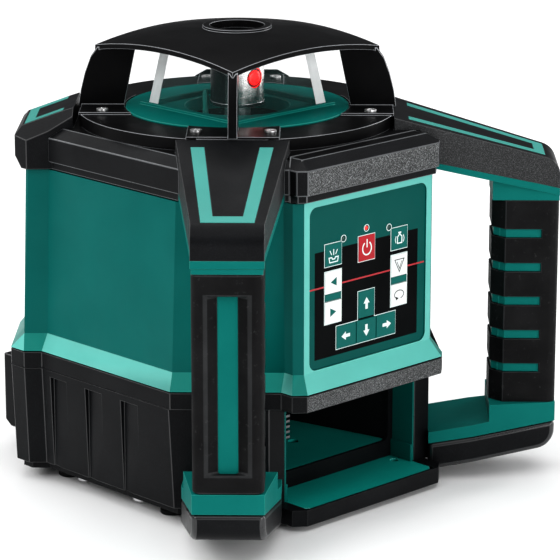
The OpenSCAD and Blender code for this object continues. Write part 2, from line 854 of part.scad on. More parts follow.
module gimbal_ring() {
    color(METAL) {
        difference() {
            tube(gimbal_r, gimbal_in_r, pivot_z - 4, pivot_z + 4);
            translate([0, 0, pivot_z]) rotate([90, 0, 0])
                cylinder(r = pin_r + pin_fit, h = 100, center = true);
        }
        for (s = [0, 180]) rotate([0, 0, s]) translate([gimbal_r - 2, 0, pivot_z])
            rotate([0, 90, 0]) cylinder(r = pin_r, h = chassis_r - gimbal_r + 1);
        block(-4, 4, gimbal_in_r + 0.8, gimbal_r - 0.8, fork_z - 2, pivot_z - 3);
        block(-4, 4, gimbal_in_r + 0.8, plunger_r - 8, fork_z - 2, fork_z + 2);
        fork(5.5, 8, 0.35);
    }
}

column_r = 14;
bearing_r = 11;
barrel_r = 9;
motor_x = -21;

module laser_carrier() {
    color(BLACK) difference() {
        union() {
            translate([0, 0, 92]) cylinder(r = column_r, h = 52);
            translate([0, 0, 143]) cylinder(r = 28, h = 5);
            for (s = [90, 270]) rotate([0, 0, s]) translate([column_r - 2, 0, pivot_z])
                rotate([0, 90, 0]) {
                    cylinder(r = 4, h = 18);
                    cylinder(r = pin_r, h = gimbal_r - column_r + 1.6);
                }
            block(column_r - 3, plunger_r - 8, -4, 4, fork_z - 2, fork_z + 2);
            rotate([0, 0, -90]) fork(7, 10, 1.2);
        }
        translate([0, 0, 119]) cylinder(r = bearing_r, h = 60);
        translate([0, 0, 90]) cylinder(r = barrel_r, h = 40);
        translate([motor_x, 0, 140]) cylinder(r = 2.2, h = 20);
    }
}

module laser_module() {
    color(BRASS) translate([0, 0, 84]) {
        cylinder(r = 7, h = 8);
        translate([0, 0, 8 - e]) cylinder(r = barrel_r, h = 22);
        translate([0, 0, 30 - e]) cylinder(r = 3, h = 2);
    }
}

BEARING_Z = [119, 142.5];

module bearings() {
    color(METAL) for (z = BEARING_Z) tube(bearing_r, 6.03, z, z + 5);
}

module drive_motor() {
    color(METAL) translate([motor_x, 0, 0]) difference() {
        translate([0, 0, 118]) cylinder(r = 5.6, h = 25);
        translate([0, 0, 130]) cylinder(r = 1, h = 20);
    }
}

pulley_z = 150;
pulley_r = 10;
small_r = 4;
belt_w = 4;
belt_t = 1;
belt_fit = 0.1;

module motor_pulley() {
    color(METAL) translate([motor_x, 0, 0]) {
        translate([0, 0, pulley_z]) cylinder(r = small_r, h = belt_w + 1.4);
        translate([0, 0, pulley_z - 1]) cylinder(r = small_r + 1.4, h = 1);
        translate([0, 0, 131]) cylinder(r = 0.97, h = pulley_z - 130);
    }
}

// Shape bounded by two circles and their outer tangents
module belt_shape(r1, r2) {
    d = abs(motor_x);
    a = acos((r1 - r2) / d);
    circle(r1);
    translate([motor_x, 0]) circle(r2);
    polygon([[-r1 * cos(a), r1 * sin(a)], [motor_x - r2 * cos(a), r2 * sin(a)],
        [motor_x - r2 * cos(a), -r2 * sin(a)], [-r1 * cos(a), -r1 * sin(a)]]);
}

module drive_belt() {
    color(RUBBER) translate([0, 0, pulley_z + 0.6]) difference() {
        linear_extrude(belt_w) belt_shape(pulley_r + belt_fit + belt_t, small_r + belt_fit + belt_t);
        translate([0, 0, -1]) linear_extrude(belt_w + 2)
            belt_shape(pulley_r + belt_fit, small_r + belt_fit);
    }
}

turret_r = 12;
turret_z = 170.9;
turret_top_z = 200;
face_half = 48;

module spindle() {
    color(METAL) difference() {
        union() {
            translate([0, 0, 118]) cylinder(r = 6, h = turret_z - 118);
            translate([0, 0, pulley_z]) cylinder(r = pulley_r, h = belt_w + 1.4);
            translate([0, 0, pulley_z - 1]) cylinder(r = pulley_r + 1.6, h = 1);
            translate([0, 0, 159]) cylinder(r = 12.5, h = 1);
            translate([0, 0, turret_z - e]) cylinder(r = turret_r + 0.2, h = 1.85);
        }
        translate([0, 0, 100]) cylinder(r = 4, h = 100);
    }
}

// Wall of the turret between two angles
module turret_wall(a0, a1, t) {
    translate([0, 0, turret_z + 1.85]) rotate([0, 0, a0])
        rotate_extrude(angle = a1 - a0, $fn = 96)
            translate([turret_r - t, 0]) square([t, turret_top_z - turret_z - 1.85]);
}

window_z = 184;

module turret_shell() {
    color(BLACK) {
        turret_wall(270 + face_half, 630 - face_half, 1.8);
        difference() {
            translate([0, 0, turret_top_z - 1.6]) cylinder(r = turret_r - 1.8 + e, h = 1.6);
            translate([0, 0, turret_top_z - 4]) cylinder(r = 5, h = 8);
        }
    }
}

module turret_face() {
    color(METAL) difference() {
        turret_wall(270 - face_half + 0.2, 270 + face_half - 0.2, 1.7);
        translate([0, 0, window_z]) rotate([90, 0, 0]) cylinder(r = 4.5, h = 20);
    }
}

module exit_lens() {
    color("red") translate([0, -turret_r + 1.6, window_z]) rotate([90, 0, 0]) {
        translate([0, 0, -0.6]) cylinder(r = 4.45, h = 1.2);
    }
    color(GLASS) translate([0, 0, turret_top_z - 1.5]) cylinder(r = 4.95, h = 1.2);
}

module prism() {
    color(GLASS) translate([0, 0, window_z]) rotate([90, 0, 90]) linear_extrude(11, center = true)
        polygon([[-6, -6], [3, -6], [6.5, 1], [2, 7], [-6, 4.5]]);
    color(METAL) tube(7.5, 4, turret_z + 1.85, window_z - 6);
}

// ---- choose what to draw -----------------------------------------------------
housing_shell();
base_shell();
bottom_plate();
tray_plate();
tripod_insert();
rear_mount_block();
rear_insert();
feet();
case_screws();
top_cap();
case_seals();
window_deck();
window_glass();
cage();
cage_screws();
keypad_overlay();
keypad_board();
status_leds();
key("key_lamp", TEAL);  // key_lamp
key("key_power", "#c81026");  // key_power
key("key_shock", TEAL);  // key_shock
key("key_scan_left", "white");  // key_scan_left
key("key_scan_right", "white");  // key_scan_right
key("key_scan_angle", "white");  // key_scan_angle
key("key_speed", "white");  // key_speed
key("key_up", TEAL);  // key_up
key("key_left", TEAL);  // key_left
key("key_down", TEAL);  // key_down
key("key_right", TEAL);  // key_right
bay_frame();
battery_liner();
bay_floor();
bay_contacts();
main_board();
color(TEAL) front_left() handle_core();  // handle_core_left
color(TEAL) mirror([1, 0, 0]) front_left() handle_core();  // handle_core_right
color(BLACK) front_left() arm_cover();  // arm_cover_left
color(BLACK) mirror([1, 0, 0]) front_left() arm_cover();  // arm_cover_right
color(RUBBER) front_left() grip();  // grip_left
color(RUBBER) mirror([1, 0, 0]) front_left() grip();  // grip_right
color(BLACK) front_left() handle_foot();  // handle_foot_left
color(BLACK) mirror([1, 0, 0]) front_left() handle_foot();  // handle_foot_right
inlays();
corner_bumpers();
chassis_frame();
level_motors();
level_plunger_x();
level_plunger_y();
gimbal_ring();
laser_carrier();
laser_module();
bearings();
drive_motor();
motor_pulley();
drive_belt();
spindle();
turret_shell();
turret_face();
prism();
exit_lens();
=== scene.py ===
"""Looks, printed marks, light and camera of the rotary laser level.

The CAD nodes come from the frame and keep their shapes. This script gives them materials and
rounded edges, and adds the keypad's prints and three small turned pieces.
"""
import math

import bmesh
import bpy
from mathutils import Matrix, Vector


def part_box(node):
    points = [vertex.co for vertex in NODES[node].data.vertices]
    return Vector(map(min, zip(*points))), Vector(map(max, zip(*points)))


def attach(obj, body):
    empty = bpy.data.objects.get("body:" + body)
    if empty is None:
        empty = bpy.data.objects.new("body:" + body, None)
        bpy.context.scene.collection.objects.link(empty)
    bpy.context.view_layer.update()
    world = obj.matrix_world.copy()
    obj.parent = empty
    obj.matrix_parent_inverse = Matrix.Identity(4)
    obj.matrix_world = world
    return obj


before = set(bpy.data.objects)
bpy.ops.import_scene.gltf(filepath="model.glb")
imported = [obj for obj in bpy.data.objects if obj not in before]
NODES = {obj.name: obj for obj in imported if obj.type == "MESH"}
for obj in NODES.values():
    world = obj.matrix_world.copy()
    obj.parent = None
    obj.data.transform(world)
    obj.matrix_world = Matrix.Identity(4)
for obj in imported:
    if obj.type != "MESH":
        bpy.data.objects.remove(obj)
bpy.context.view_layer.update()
MM = 0.001
# plain colours, with the stronger contrast of the photograph
bpy.context.scene.view_settings.view_transform = "Standard"
bpy.context.scene.view_settings.look = "Medium High Contrast"


# ---- materials --------------------------------------------------------------
def srgb(r, g, b):
    def f(c):
        c /= 255
        return c / 12.92 if c <= 0.04045 else ((c + 0.055) / 1.055) ** 2.4
    return (f(r), f(g), f(b), 1)


class Tree:
    """Small helper round a material's node tree."""

    def __init__(self, name):
        self.mat = bpy.data.materials.new(name)
        self.mat.use_nodes = True
        self.nt = self.mat.node_tree
        self.nt.nodes.clear()
        self.out = self.add("ShaderNodeOutputMaterial")
        self.bsdf = self.add("ShaderNodeBsdfPrincipled")
        self.link(self.bsdf.outputs[0], self.out.inputs[0])
        self.coord = self.add("ShaderNodeTexCoord")

    def add(self, kind):
        return self.nt.nodes.new(kind)

    def link(self, a, b):
        self.nt.links.new(a, b)

    def noise(self, scale, detail=3, rough=0.55, stretch=None):
        n = self.add("ShaderNodeTexNoise")
        n.inputs["Scale"].default_value = scale
        n.inputs["Detail"].default_value = detail
        n.inputs["Roughness"].default_value = rough
        src = self.coord.outputs["Object"]
        if stretch:
            m = self.add("ShaderNodeMapping")
            m.inputs["Scale"].default_value = stretch
            self.link(src, m.inputs[0])
            src = m.outputs[0]
        self.link(src, n.inputs["Vector"])
        return n.outputs["Fac"]

    def remap(self, value, lo, hi, out_lo, out_hi):
        m = self.add("ShaderNodeMapRange")
        m.clamp = True
        self.link(value, m.inputs[0])
        for i, v in enumerate((lo, hi, out_lo, out_hi)):
            m.inputs[i + 1].default_value = v
        return m.outputs[0]

    def mix(self, fac, a, b):
        """Mixes two colours; each value is a constant or another node's output."""
        m = self.add("ShaderNodeMix")
        m.data_type = "RGBA"
        for socket, v in zip((m.inputs[0], m.inputs[6], m.inputs[7]), (fac, a, b)):
            if isinstance(v, bpy.types.NodeSocket):
                self.link(v, socket)
            else:
                socket.default_value = v
        return m.outputs[2]

    def bump(self, height, distance, strength, normal=None):
        b = self.add("ShaderNodeBump")
        b.inputs["Strength"].default_value = strength
        b.inputs["Distance"].default_value = distance
        self.link(height, b.inputs["Height"])
        if normal:
            self.link(normal, b.inputs["Normal"])
        return b.outputs[0]


def plastic(name, colour, rough=0.4, grain=1500, depth=0.00003, vary=0.06, dust=0.01, spec=0.5,
            specks=None):
    """Moulded plastic: fine spark-eroded grain, uneven gloss, faint scuffs.

    grain and depth are the scale and the height (m) of the fine bumps, vary is how far the
    colour drifts, dust is the strength of the scuffs, spec is the specular level, and specks
    are the colour and the strength of light grains.
    """
    t = Tree(name)
    b = t.bsdf
    dark = tuple(c * (1 - vary) for c in colour[:3]) + (1,)
    light = tuple(min(1, c * (1 + vary) + 0.002) for c in colour[:3]) + (1,)
    base = t.mix(t.remap(t.noise(38, 4), 0.3, 0.7, 0, 1), dark, light)
    if specks:
        speck_colour, strength = specks
        speck = t.remap(t.noise(2600, 2, 0.7), 0.52, 0.62, 0, strength)
        base = t.mix(speck, base, speck_colour)
    if dust:
        scuff = t.remap(t.noise(160, 6, 0.75, (1, 1, 3)), 0.66, 0.78, 0, dust)
        base = t.mix(scuff, base, (0.45, 0.47, 0.46, 1))
    t.link(base, b.inputs["Base Color"])
    t.link(t.remap(t.noise(55, 5), 0.3, 0.7, rough - 0.06, rough + 0.08), b.inputs["Roughness"])
    fine = t.bump(t.noise(grain, 2, 0.6), depth, 0.5)
    wave = t.bump(t.noise(24, 2), 0.00012, 0.25, fine)
    t.link(wave, b.inputs["Normal"])
    b.inputs["Specular IOR Level"].default_value = spec
    return t.mat


def rubber(name, colour, rough=0.62):
    """Grip rubber: dull, with a fine grain and lighter rubbed spots."""
    t = Tree(name)
    b = t.bsdf
    light = tuple(c * 1.7 + 0.004 for c in colour[:3]) + (1,)
    base = t.mix(t.remap(t.noise(60, 5), 0.35, 0.7, 0, 1), colour, light)
    rub = t.remap(t.noise(420, 5, 0.7), 0.6, 0.75, 0, 0.1)
    t.link(t.mix(rub, base, (0.3, 0.3, 0.3, 1)), b.inputs["Base Color"])
    t.link(t.remap(t.noise(80, 4), 0.3, 0.7, rough - 0.07, rough + 0.1), b.inputs["Roughness"])
    t.link(t.bump(t.noise(1900, 3, 0.65), 0.00006, 0.6), b.inputs["Normal"])
    b.inputs["Specular IOR Level"].default_value = 0.16
    return t.mat


def metal(name, colour, rough=0.3, brush=(1, 1, 30), grain=900):
    """Bare metal: brush stretches the marks along the axes, (1, 1, 1) leaves them even."""
    t = Tree(name)
    b = t.bsdf
    b.inputs["Metallic"].default_value = 1
    dark = tuple(c * 0.78 for c in colour[:3]) + (1,)
    t.link(t.mix(t.remap(t.noise(120, 5), 0.35, 0.7, 0, 1), dark, colour), b.inputs["Base Color"])
    t.link(t.remap(t.noise(300, 4, 0.6, brush), 0.3, 0.7, rough - 0.08, rough + 0.12),
           b.inputs["Roughness"])
    t.link(t.bump(t.noise(grain, 2, 0.5, brush), 0.00002, 0.35), b.inputs["Normal"])
    return t.mat


def glass(name, tint, rough, haze=0.12):
    """Solid clear glass with faint smears."""
    t = Tree(name)
    b = t.bsdf
    b.inputs["IOR"].default_value = 1.47
    b.inputs["Transmission Weight"].default_value = 1
    smear = t.remap(t.noise(30, 5), 0.35, 0.75, 0, 1)
    t.link(t.mix(smear, tint, tuple(c * 0.94 for c in tint[:3]) + (1,)), b.inputs["Base Color"])
    t.link(t.remap(t.noise(44, 5), 0.4, 0.8, rough, rough + haze), b.inputs["Roughness"])
    t.link(t.bump(t.noise(90, 2), 0.00002, 0.1), b.inputs["Normal"])
    return t.mat


def pane(name, tint, alpha, rough):
    """Thin clear sheet: little colour, mostly reflections, faint smears."""
    t = Tree(name)
    b = t.bsdf
    smear = t.remap(t.noise(60, 5, 0.6, (1, 1, 0.4)), 0.4, 0.75, 0, 1)
    t.link(t.mix(smear, tint, tuple(min(1, c * 1.1) for c in tint[:3]) + (1,)),
           b.inputs["Base Color"])
    t.link(t.remap(t.noise(44, 5), 0.4, 0.8, rough, rough + 0.1), b.inputs["Roughness"])
    t.link(t.remap(t.noise(130, 4, 0.6, (1, 1, 0.5)), 0.3, 0.7, alpha * 0.85, min(1, alpha * 1.15)),
           b.inputs["Alpha"])
    b.inputs["IOR"].default_value = 1.5
    return t.mat


def glow(name, colour, strength, rough=0.25):
    """Lamp or lens that shines by itself; a strength of 0 leaves it dark."""
    t = Tree(name)
    b = t.bsdf
    t.link(t.mix(t.remap(t.noise(900, 3), 0.3, 0.7, 0, 1), colour,
                 tuple(c * 0.8 for c in colour[:3]) + (1,)), b.inputs["Base Color"])
    t.link(t.remap(t.noise(700, 3), 0.3, 0.7, rough, rough + 0.1), b.inputs["Roughness"])
    b.inputs["Emission Color"].default_value = colour
    b.inputs["Emission Strength"].default_value = strength
    return t.mat


TEAL = srgb(0, 97, 92)
DEEP = srgb(0, 80, 75)
MINT = srgb(66, 150, 141)
BLACK = srgb(15, 16, 18)
EVEN = (1, 1, 1)

M = {
    # greens
    "teal": plastic("green_plastic", TEAL, 0.42, spec=0.1),
    "teal_deck": plastic("green_deck", srgb(0, 112, 105), 0.6, spec=0.03),
    # painted light: the housing's green made lighter on the handles, for the light that falls on them
    "teal_core_painted_light": plastic("green_handle_painted_light", srgb(12, 106, 100), 0.5, spec=0.04),
    "teal_bay": plastic("green_bay", srgb(16, 146, 136), 0.42, spec=0.12),
    # painted light: a lighter green for faces that catch the light, and for rounded edges as painted
    # highlights
    "teal_painted_light": plastic("green_painted_light", srgb(98, 184, 174), vary=0.05, dust=0.04, spec=0.3),
    # painted light: a somewhat lighter green for the flare's corner facets, and for rounded edges as
    # soft painted highlights
    "teal_painted_soft_light": plastic("green_painted_soft_light", srgb(22, 128, 118), vary=0.05, dust=0.02, spec=0.2),
    "teal_mid": plastic("green_rim", srgb(16, 124, 114), dust=0.02, spec=0.25),
    "teal_satin": plastic("green_satin", srgb(0, 96, 90), 0.36, grain=1800, depth=0.00002,
                          spec=0.12),
    "mint": plastic("light_green", MINT, 0.42, vary=0.05, dust=0.04, spec=0.3),
    # keypad
    "film": plastic("keypad_film", DEEP, 0.45, grain=2200, depth=0.00001, vary=0.04, spec=0.08),
    "film_black": plastic("keypad_black", srgb(1, 3, 4), 0.45, grain=2200, depth=0.00001,
                          vary=0.08, dust=0.005, spec=0.05),
    "white": plastic("white_key", srgb(228, 232, 231), grain=1700, depth=0.00002, vary=0.03,
                     dust=0.03),
    "print": plastic("white_print", srgb(222, 236, 234), grain=1700, depth=0.00001, vary=0.03,
                     dust=0.03),
    "red_key": plastic("red_key", srgb(168, 6, 26), grain=1700, depth=0.00002, dust=0.02,
                       spec=0.3),
    "red_print": plastic("red_print", srgb(176, 20, 34), grain=1700, depth=0.00001, vary=0.05,
                         dust=0.02),
    # blacks
    "roof": plastic("black_roof", srgb(13, 13, 14), 0.34, vary=0.15, dust=0.004, spec=0.05),
    "black": plastic("black_plastic", BLACK, 0.36, depth=0.00004, vary=0.2, spec=0.1,
                     specks=(srgb(44, 46, 48), 0.3)),
    "black_rough": plastic("black_textured", srgb(40, 41, 42), 0.55, grain=1100, depth=0.0001,
                           vary=0.2, dust=0.02, spec=0.4, specks=(srgb(150, 153, 154), 0.75)),
    "black_grain": plastic("black_grained", srgb(24, 25, 26), 0.45, grain=1300, depth=0.00008,
                           vary=0.2, dust=0.02, spec=0.3, specks=(srgb(96, 98, 100), 0.55)),
    "black_gloss": plastic("black_glossy", srgb(10, 11, 12), 0.2, grain=1600, depth=0.00001,
                           vary=0.1, dust=0, spec=0.4),
    # painted highlights: lighter blacks for the rounded edges of black parts, brightest on the cap
    # and on the cage's rims
    "black_painted_highlight": plastic("black_painted_highlight", srgb(84, 86, 88), 0.3, grain=1600, depth=0.00002,
                          vary=0.25, dust=0.1),
    "black_painted_highlight_line": plastic("black_painted_highlight_line", srgb(58, 59, 61), 0.3, grain=1600, depth=0.00002,
                          vary=0.2, dust=0.05),
    "black_painted_soft_highlight": plastic("black_painted_soft_edge", srgb(24, 25, 27), 0.3, grain=1600, depth=0.00002,
                          vary=0.2, dust=0.05, spec=0.7),
    "rim": plastic("rim_painted_highlight", srgb(124, 126, 129), 0.25, grain=1600, depth=0.00002, vary=0.2,
                   dust=0.04, spec=0.6),
    "rubber": rubber("rubber", srgb(6, 6, 7)),
    # painted highlight: a lighter rubber for the grips' rounded edges
    "rubber_painted_highlight": rubber("rubber_painted_highlight", srgb(32, 33, 34), 0.42),
    # metals
    "alu": metal("machined_aluminium", (0.62, 0.63, 0.65, 1), 0.28),
    "cast": metal("cast_metal", (0.32, 0.33, 0.35, 1), 0.5, EVEN),
    "steel": metal("plated_steel", (0.62, 0.62, 0.63, 1), 0.22, EVEN),
    "dark_steel": metal("dark_steel", (0.16, 0.16, 0.165, 1), 0.32, EVEN),
    "screw": metal("bright_screw", (0.9, 0.9, 0.9, 1), 0.35, EVEN),
    "chrome": metal("polished_metal", (0.72, 0.71, 0.7, 1), 0.2, (1, 1, 2), 500),
    "brass": metal("machined_brass", (0.68, 0.5, 0.22, 1)),
    # circuit boards
    "board": plastic("circuit_board", srgb(20, 90, 45), 0.3, grain=1200, depth=0.00005, vary=0.2,
                     dust=0.04),
    "chip": plastic("chip", srgb(28, 28, 30), vary=0.1, dust=0.04),
    # lamps, lenses and glass
    "led_off": glow("dark_lens", srgb(14, 60, 52), 0),
    "led_on": glow("red_lamp", srgb(255, 40, 30), 1),
    "laser": glow("laser_spot", srgb(255, 12, 14), 2.2),
    "lens": glow("dark_red_glass", srgb(90, 10, 12), 0.15, 0.1),
    "lens_top": glow("dark_glass", srgb(12, 14, 16), 0, 0.08),
    "glass": pane("clear_glass", (0.3, 0.5, 0.48, 1), 0.03, 0.05),
    # painted highlight: the glass corner posts drawn almost opaque and white, for the light along
    # their edges
    "glass_painted_glint": pane("glass_post", (0.86, 0.88, 0.88, 1), 0.96, 0.3),
    "prism": glass("prism_glass", (0.9, 0.96, 1.0, 1), 0.02),
}

# the material of every CAD node
NODE_MATS = {
    "housing_shell": "teal", "handle_core_left": "teal_core_painted_light", "handle_core_right": "teal_core_painted_light",
    "tray_plate": "teal_bay", "window_deck": "teal_deck", "bay_floor": "teal_bay",
    "keypad_overlay": "film", "bay_frame": "teal_satin", "base_shell": "black",
    "bottom_plate": "black", "rear_mount_block": "black", "top_cap": "black", "cage": "roof",
    "arm_cover_left": "black", "arm_cover_right": "black", "handle_foot_left": "black",
    "handle_foot_right": "black", "corner_bumpers": "black", "battery_liner": "black",
    "laser_carrier": "black", "turret_shell": "black", "grip_left": "rubber",
    "grip_right": "rubber", "feet": "rubber", "case_seals": "rubber", "drive_belt": "rubber",
    "inlays": "mint", "tripod_insert": "alu", "rear_insert": "alu", "drive_motor": "steel",
    "motor_pulley": "alu", "spindle": "alu", "gimbal_ring": "alu", "level_motors": "steel",
    "chassis_frame": "cast", "case_screws": "steel", "cage_screws": "screw",
    "bearings": "steel", "bay_contacts": "dark_steel", "turret_face": "chrome",
    "level_plunger_x": "brass", "level_plunger_y": "brass", "laser_module": "brass",
    "keypad_board": "board", "main_board": "board", "status_leds": "led_off",
    "key_lamp": "teal_satin", "key_shock": "teal_satin", "key_up": "teal_satin",
    "key_left": "teal_satin", "key_down": "teal_satin", "key_right": "teal_satin",
    "key_power": "red_key", "key_scan_left": "white", "key_scan_right": "white",
    "key_scan_angle": "white", "key_speed": "white", "window_glass": "glass",
    "prism": "prism", "exit_lens": "laser",
}

# the material of a node's bevels, where it isn't the node's own: lighter colours, as painted
# highlights along the edges
EDGES = {"base_shell": "black_painted_soft_highlight", "top_cap": "black_painted_highlight", "cage": "rim",
         "arm_cover_left": "black_painted_soft_highlight", "arm_cover_right": "black_painted_soft_highlight",
         "handle_foot_left": "black_painted_soft_highlight", "handle_foot_right": "black_painted_soft_highlight",
         "corner_bumpers": "black_painted_soft_highlight", "rear_mount_block": "black_painted_soft_highlight",
         "bottom_plate": "black_painted_highlight_line", "grip_left": "rubber_painted_highlight", "grip_right": "rubber_painted_highlight",
         "housing_shell": "teal_painted_light", "handle_core_left": "teal_painted_soft_light",
         "handle_core_right": "teal_painted_soft_light", "tray_plate": "teal_painted_light",
         "window_deck": "teal_painted_soft_light"}
# the width of a node's bevels (mm), and of all others
BEVELS = {
    "housing_shell": 0.7, "base_shell": 0.3, "top_cap": 0.4, "cage": 0.22, "arm_cover_left": 2.0,
    "arm_cover_right": 2.0, "grip_left": 1.0, "grip_right": 1.0, "handle_core_left": 0.5,
    "handle_core_right": 0.5, "handle_foot_left": 2.2, "handle_foot_right": 2.2,
    "corner_bumpers": 1.0, "rear_mount_block": 1.2, "bottom_plate": 0.5, "tray_plate": 0.25,
    "window_deck": 0.4, "keypad_overlay": 0.15, "battery_liner": 0.4, "inlays": 0.15,
    "feet": 0.5, "bay_frame": 0.15, "rear_insert": 0.4, "tripod_insert": 0.4,
    "case_seals": 0.1, "window_glass": 0.12, "cage_screws": 0.15, "turret_shell": 0.3,
    "turret_face": 0.1, "spindle": 0.25, "gimbal_ring": 0.4, "laser_carrier": 0.5,
    "chassis_frame": 0.5, "level_motors": 0.5,
}
BEVEL = 0.16
BEVEL_STEPS = 3
BEVEL_ANGLE = math.radians(27)
SHARP_ANGLE = math.radians(13)
FLAT_ANGLE = math.radians(0.6)
SAME_POINT = 0.000002
# their flat faces stay cut up, because joining them spoils the shading
KEEP_CUTS = ("cage", "base_shell")
# one tiny edge would take the bevel off all others
NO_CLAMP = ("base_shell", "top_cap", "cage")


def dress(name, obj):
    """Gives a CAD node its materials, smooth shading and rounded edges; for nodes listed in EDGES the
    rounded edges get a lighter colour, as painted highlights.
    """
    data = obj.data
    data.materials.clear()
    data.materials.append(M[NODE_MATS[name]])
    data.materials.append(M[EDGES.get(name, NODE_MATS[name])])
    data.polygons.foreach_set("material_index", [0] * len(data.polygons))
    data.polygons.foreach_set("use_smooth", [True] * len(data.polygons))
    data.set_sharp_from_angle(angle=SHARP_ANGLE)
    obj.modifiers.new("weld", "WELD").merge_threshold = SAME_POINT
    if name not in KEEP_CUTS:
        flat = obj.modifiers.new("flat", "DECIMATE")
        flat.decimate_type = "DISSOLVE"
        flat.angle_limit = FLAT_ANGLE
        flat.delimit = {"MATERIAL"}
    bevel = obj.modifiers.new("edges", "BEVEL")
    bevel.width = BEVELS.get(name, BEVEL) * MM
    bevel.segments = BEVEL_STEPS
    bevel.limit_method = "ANGLE"
    bevel.angle_limit = BEVEL_ANGLE
    # the bevels take the second slot: painted highlights where EDGES gives a lighter colour
    bevel.material = 1
    bevel.use_clamp_overlap = name not in NO_CLAMP
    bevel.loop_slide = False
    obj.modifiers.new("normals", "WEIGHTED_NORMAL").keep_sharp = True


def paint(name, rules):
    """Gives faces of a CAD node other materials: a rule tests a face's centre (mm) and normal."""
    data = NODES[name].data
    base = len(data.materials)
    for key, _ in rules:
        data.materials.append(M[key])
    for poly in data.polygons:
        for i, (_, test) in enumerate(rules):
            if test(poly.center / MM, poly.normal):
                poly.material_index = base + i


for name, obj in NODES.items():
    dress(name, obj)

# places where a node changes its material (mm)
BAND_LOW, BAND_HIGH, CAP_TOP = 149.4, 161, 160
SKIRT_TOP = 53
FOOT_TOP = 70.5
PANEL_RIM_Y = -82.9
POST_HALF, POST_OUT, FRONT_POST = 7, 40, -20
TOP_LENS_LOW = 195
MIDDLE_LAMP_LOW = 127
CHIP_LOW = 58.1
FLANGE_LOW = 170.8


def slopes_out(c, n):
    """The flared foot of the housing."""
    return 0.15 < n.z < 0.8 and c.z < FOOT_TOP


def glass_post(c, n):
    """The corner posts, except the front left one."""
    return (abs(abs(c.x) - abs(c.y)) < POST_HALF and abs(c.x) + abs(c.y) > POST_OUT
            and c.x + c.y > FRONT_POST)


paint("top_cap", [("black_rough", lambda c, n: n.y < -0.9 and BAND_LOW < c.z < BAND_HIGH),
                  ("roof", lambda c, n: n.z > 0.9 and c.z > CAP_TOP)])
paint("base_shell", [("black_rough", lambda c, n: n.y < -0.9 and c.z > SKIRT_TOP)])
for arm, way in (("arm_cover_left", 1), ("arm_cover_right", -1)):
    paint(arm, [("black_grain", lambda c, n, k=way: abs(n.z) < 0.3 and abs(k * n.x + n.y) < 0.6)])
# painted light: the flared foot lighter as if lit from above, its corner facets a little less, and
# the front faces of the panel's raised frame lighter
paint("housing_shell", [
    ("teal_painted_light", slopes_out),
    ("teal_painted_soft_light", lambda c, n: slopes_out(c, n) and abs(n.x) > 0.3 and abs(n.y) > 0.3),
    ("teal_painted_light", lambda c, n: n.y < -0.95 and c.y < PANEL_RIM_Y)])
# painted highlight on the glass corner posts
paint("window_glass", [("glass_painted_glint", glass_post)])
paint("exit_lens", [("lens_top", lambda c, n: c.z > TOP_LENS_LOW),
                    ("lens", lambda c, n: c.z <= TOP_LENS_LOW)])
paint("status_leds", [("led_on", lambda c, n: c.z > MIDDLE_LAMP_LOW)])
paint("main_board", [("chip", lambda c, n: c.z > CHIP_LOW)])
paint("spindle", [("black_gloss", lambda c, n: c.z > FLANGE_LOW)])


# ---- pieces made here ---------------------------------------------------------
def new_object(name, data):
    o = bpy.data.objects.new(name, data)
    bpy.context.scene.collection.objects.link(o)
    return o


def mesh_object(name, bm, material):
    mesh = bpy.data.meshes.new(name)
    bm.to_mesh(mesh)
    bm.free()
    mesh.materials.append(material)
    return new_object(name, mesh)


def add_piece(name, bm, material, body):
    """A piece that moves with a body and takes one of the materials of the CAD nodes."""
    o = mesh_object(name, bm, M[material])
    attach(o, body)
    return o


# ---- printed marks on the keypad ----------------------------------------------
def solid(name, outlines, surface_y, layer, material, body):
    """Flat shapes given by outlines in x and z (mm), printed on a surface that faces -Y."""
    stands_out, thickness = layer
    y = surface_y - stands_out
    bm = bmesh.new()
    for pts in outlines:
        low = [bm.verts.new((x * MM, y * MM, z * MM)) for x, z in pts]
        high = [bm.verts.new((x * MM, (y + thickness) * MM, z * MM)) for x, z in pts]
        bm.faces.new(low)
        bm.faces.new(high[::-1])
        for i in range(len(pts)):
            j = (i + 1) % len(pts)
            bm.faces.new((low[j], low[i], high[i], high[j]))
    bmesh.ops.remove_doubles(bm, verts=bm.verts, dist=0.0000005)
    bmesh.ops.recalc_face_normals(bm, faces=bm.faces)
    add_piece(name, bm, material, body)


def rect(x0, z0, x1, z1):
    return [(x0, z0), (x1, z0), (x1, z1), (x0, z1)]


def ribbon(points, width, closed=False):
    """Outlines of a line of that width through points, as one quad per stretch."""
    n = len(points)
    left, right = [], []
    for i, p in enumerate(points):
        a = Vector(points[i - 1]) if i or closed else None
        b = Vector(points[(i + 1) % n]) if i < n - 1 or closed else None
        v = Vector(p)
        d1 = (v - a).normalized() if a else (b - v).normalized()
        d2 = (b - v).normalized() if b else d1
        n1, n2 = Vector((-d1.y, d1.x)), Vector((-d2.y, d2.x))
        m = (n1 + n2).normalized()
        m *= width / 2 / max(0.3, m.dot(n1))
        left.append(tuple(v + m))
        right.append(tuple(v - m))
    last = n if closed else n - 1
    return [[left[i], left[(i + 1) % n], right[(i + 1) % n], right[i]] for i in range(last)]


RING_STEPS = 28


def ring_line(cx, cz, rx, rz, width, a0=0, a1=360):
    """A line along an ellipse, from angle a0 to a1 (degrees)."""
    closed = a1 - a0 >= 360
    angles = [math.radians(a0 + (a1 - a0) * i / RING_STEPS)
              for i in range(RING_STEPS if closed else RING_STEPS + 1)]
    return ribbon([(cx + rx * math.cos(a), cz + rz * math.sin(a)) for a in angles], width, closed)


def shift(points, dx, dz, quarter=0):
    """Points turned by quarter turns about the origin, then moved."""
    out = []
    for x, z in points:
        for _ in range(quarter):
            x, z = -z, x
        out.append((x + dx, z + dz))
    return out


